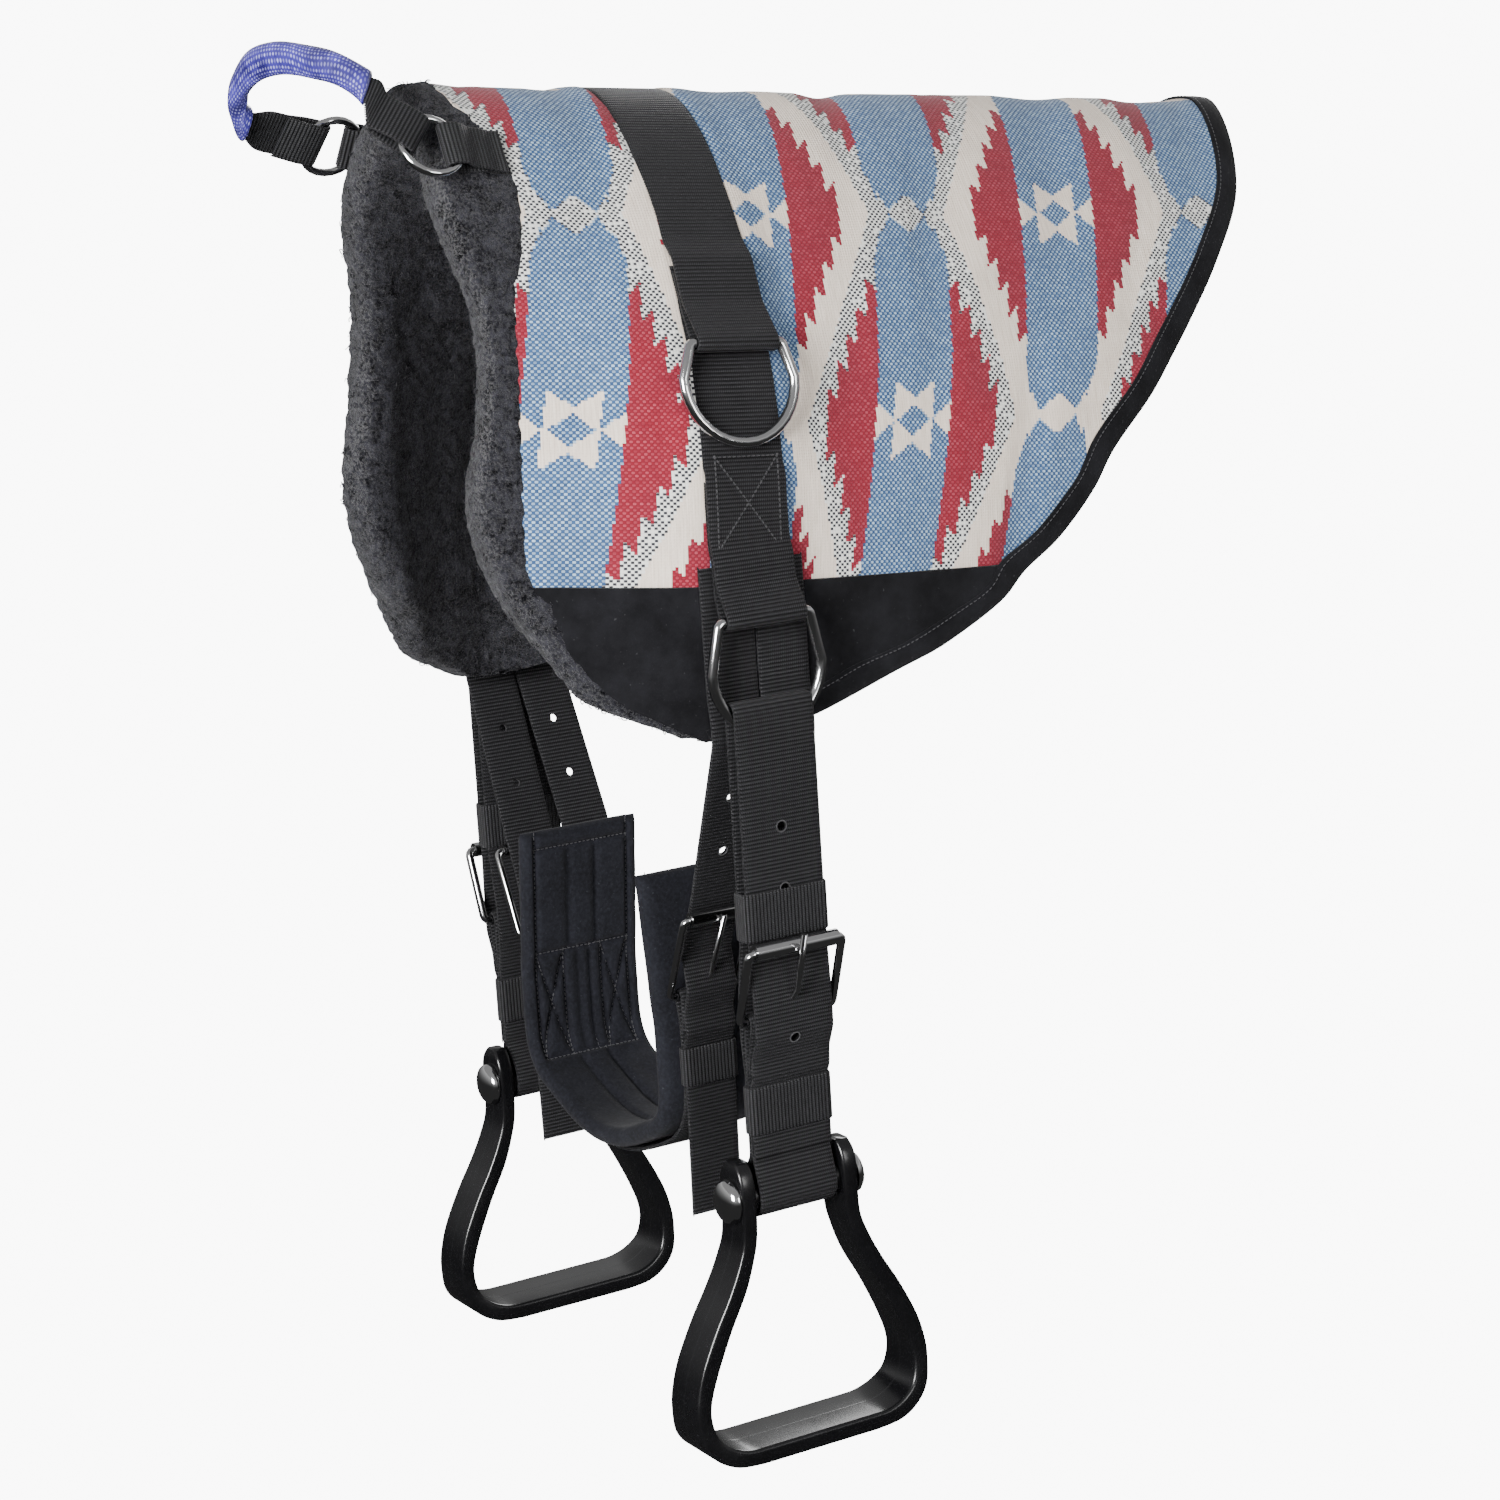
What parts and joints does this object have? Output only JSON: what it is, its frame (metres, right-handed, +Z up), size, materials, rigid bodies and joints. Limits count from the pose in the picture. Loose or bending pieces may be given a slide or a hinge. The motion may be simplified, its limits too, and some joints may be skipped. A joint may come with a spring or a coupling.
{
  "type": "bareback riding pad",
  "caption": "Padded woven riding pad with a ringed surcingle, a quilted girth on buckled billets, buckled stirrup straps with moulded stirrups, and a grab handle.",
  "frame": {"origin": "under the ridge of the lining, where the surcingle crosses it, on the horse's spine", "axes": "+Z up, the horse faces -Y, +X is the horse's left side"},
  "size_m": [0.3592, 0.6262, 0.7977],
  "materials": {
    "woven_cloth": "coarse woven blanket",
    "foam": "soft foam",
    "fleece": "deep matt pile",
    "suede": "napped suede",
    "webbing": "ribbed nylon webbing",
    "nickel": "polished nickel plate",
    "stirrup_plastic": "moulded satin plastic",
    "quilted_cotton": "quilted cotton",
    "mesh_sleeve": "glossy woven mesh"
  },
  "bodies": {
    "pad": {"foam_core": "foam", "fleece_lining": "fleece", "woven_cover": "woven_cloth", "edge_binding": "suede", "surcingle_web": "webbing", "girth_pad": "quilted_cotton", "girth_strap": "webbing", "handle_core": "webbing", "handle_sleeve": "mesh_sleeve", "suede_panel_left": "suede", "suede_panel_right": "suede", "ring_web_left": "webbing", "ring_web_right": "webbing", "girth_billet_left": "webbing", "girth_billet_right": "webbing", "spare_billet_left": "webbing", "spare_billet_right": "webbing", "girth_keeper_left": "webbing", "girth_keeper_right": "webbing", "girth_buckle_frame_left": "nickel", "girth_buckle_frame_right": "nickel", "handle_tab_left": "webbing", "handle_tab_right": "webbing"},
    "upper_ring_left": {"upper_dee_left": "nickel"},
    "strap_left": {"lower_dee_left": "nickel", "stirrup_strap_left": "webbing", "strap_buckle_frame_left": "nickel"},
    "stirrup_left": {"stirrup_frame_left": "stirrup_plastic", "stirrup_bolt_left": "nickel", "stirrup_nut_left": "nickel"},
    "spool_left": {"stirrup_spool_left": "stirrup_plastic"},
    "strap_roller_left": {"strap_roller_left": "nickel"},
    "strap_tongue_left": {"strap_tongue_left": "nickel"},
    "top_keeper_left": {"strap_keeper_top_left": "webbing"},
    "low_keeper_left": {"strap_keeper_low_left": "webbing"},
    "girth_roller_left": {"girth_roller_left": "nickel"},
    "girth_tongue_left": {"girth_tongue_left": "nickel"},
    "handle_ring_left": {"handle_ring_left": "nickel"},
    "upper_ring_right": {"upper_dee_right": "nickel"},
    "strap_right": {"lower_dee_right": "nickel", "stirrup_strap_right": "webbing", "strap_buckle_frame_right": "nickel"},
    "stirrup_right": {"stirrup_frame_right": "stirrup_plastic", "stirrup_bolt_right": "nickel", "stirrup_nut_right": "nickel"},
    "spool_right": {"stirrup_spool_right": "stirrup_plastic"},
    "strap_roller_right": {"strap_roller_right": "nickel"},
    "strap_tongue_right": {"strap_tongue_right": "nickel"},
    "top_keeper_right": {"strap_keeper_top_right": "webbing"},
    "low_keeper_right": {"strap_keeper_low_right": "webbing"},
    "girth_roller_right": {"girth_roller_right": "nickel"},
    "girth_tongue_right": {"girth_tongue_right": "nickel"},
    "handle_ring_right": {"handle_ring_right": "nickel"}
  },
  "joints": [
    {"name": "upper_ring_swing_left", "type": "hinge", "parent": "pad", "child": "upper_ring_left", "pos_m": [0.13108, 0.00764, -0.10669], "axis": [0, -0.9971, 0.0767], "range_deg": [0, 140]},
    {"name": "strap_swing_left", "type": "hinge", "parent": "pad", "child": "strap_left", "pos_m": [0.15497, 0.0005, -0.25204], "axis": [0, -1, 0], "range_deg": [0, 60]},
    {"name": "stirrup_swing_left", "type": "hinge", "parent": "strap_left", "child": "stirrup_left", "pos_m": [0.14497, 0, -0.57603], "axis": [0, -1, 0], "range_deg": [-35, 60]},
    {"name": "spool_turn_left", "type": "hinge", "parent": "stirrup_left", "child": "spool_left", "pos_m": [0.14497, 0, -0.57603], "axis": [0, 1, 0], "continuous": true},
    {"name": "strap_roller_turn_left", "type": "hinge", "parent": "strap_left", "child": "strap_roller_left", "pos_m": [0.16803, 0, -0.43202], "axis": [0, 1, 0], "continuous": true},
    {"name": "strap_tongue_turn_left", "type": "hinge", "parent": "strap_left", "child": "strap_tongue_left", "pos_m": [0.15307, 0, -0.47403], "axis": [0, 1, 0], "range_deg": [0, 5]},
    {"name": "top_keeper_slide_left", "type": "slide", "parent": "strap_left", "child": "top_keeper_left", "axis": [0, 0, 1], "range_m": [0, 0.05]},
    {"name": "low_keeper_slide_left", "type": "slide", "parent": "strap_left", "child": "low_keeper_left", "axis": [0, 0, -1], "range_m": [0, 0.008]},
    {"name": "girth_roller_turn_left", "type": "hinge", "parent": "pad", "child": "girth_roller_left", "pos_m": [0.11299, -0.016, -0.42211], "axis": [0, 1, 0], "continuous": true},
    {"name": "girth_tongue_turn_left", "type": "hinge", "parent": "pad", "child": "girth_tongue_left", "pos_m": [0.09, -0.016, -0.47097], "axis": [0, 1, 0], "range_deg": [0, 5]},
    {"name": "handle_ring_turn_left", "type": "hinge", "parent": "pad", "child": "handle_ring_left", "pos_m": [0.06321, -0.13013, 0.00709], "axis": [0.8445, 0.0321, 0.5346], "continuous": true},
    {"name": "upper_ring_swing_right", "type": "hinge", "parent": "pad", "child": "upper_ring_right", "pos_m": [-0.13108, 0.00764, -0.10669], "axis": [0, 0.9971, -0.0767], "range_deg": [0, 140]},
    {"name": "strap_swing_right", "type": "hinge", "parent": "pad", "child": "strap_right", "pos_m": [-0.15497, 0.0005, -0.25204], "axis": [0, 1, 0], "range_deg": [0, 60]},
    {"name": "stirrup_swing_right", "type": "hinge", "parent": "strap_right", "child": "stirrup_right", "pos_m": [-0.14497, 0, -0.57603], "axis": [0, 1, 0], "range_deg": [-35, 60]},
    {"name": "spool_turn_right", "type": "hinge", "parent": "stirrup_right", "child": "spool_right", "pos_m": [-0.14497, 0, -0.57603], "axis": [0, 1, 0], "continuous": true},
    {"name": "strap_roller_turn_right", "type": "hinge", "parent": "strap_right", "child": "strap_roller_right", "pos_m": [-0.16803, 0, -0.43202], "axis": [0, 1, 0], "continuous": true},
    {"name": "strap_tongue_turn_right", "type": "hinge", "parent": "strap_right", "child": "strap_tongue_right", "pos_m": [-0.15307, 0, -0.47403], "axis": [0, -1, 0], "range_deg": [0, 5]},
    {"name": "top_keeper_slide_right", "type": "slide", "parent": "strap_right", "child": "top_keeper_right", "axis": [0, 0, 1], "range_m": [0, 0.05]},
    {"name": "low_keeper_slide_right", "type": "slide", "parent": "strap_right", "child": "low_keeper_right", "axis": [0, 0, -1], "range_m": [0, 0.008]},
    {"name": "girth_roller_turn_right", "type": "hinge", "parent": "pad", "child": "girth_roller_right", "pos_m": [-0.11299, -0.016, -0.42211], "axis": [0, 1, 0], "continuous": true},
    {"name": "girth_tongue_turn_right", "type": "hinge", "parent": "pad", "child": "girth_tongue_right", "pos_m": [-0.09, -0.016, -0.47097], "axis": [0, -1, 0], "range_deg": [0, 5]},
    {"name": "handle_ring_turn_right", "type": "hinge", "parent": "pad", "child": "handle_ring_right", "pos_m": [-0.06321, -0.13013, 0.00709], "axis": [-0.8445, 0.0321, 0.5346], "continuous": true}
  ]
}
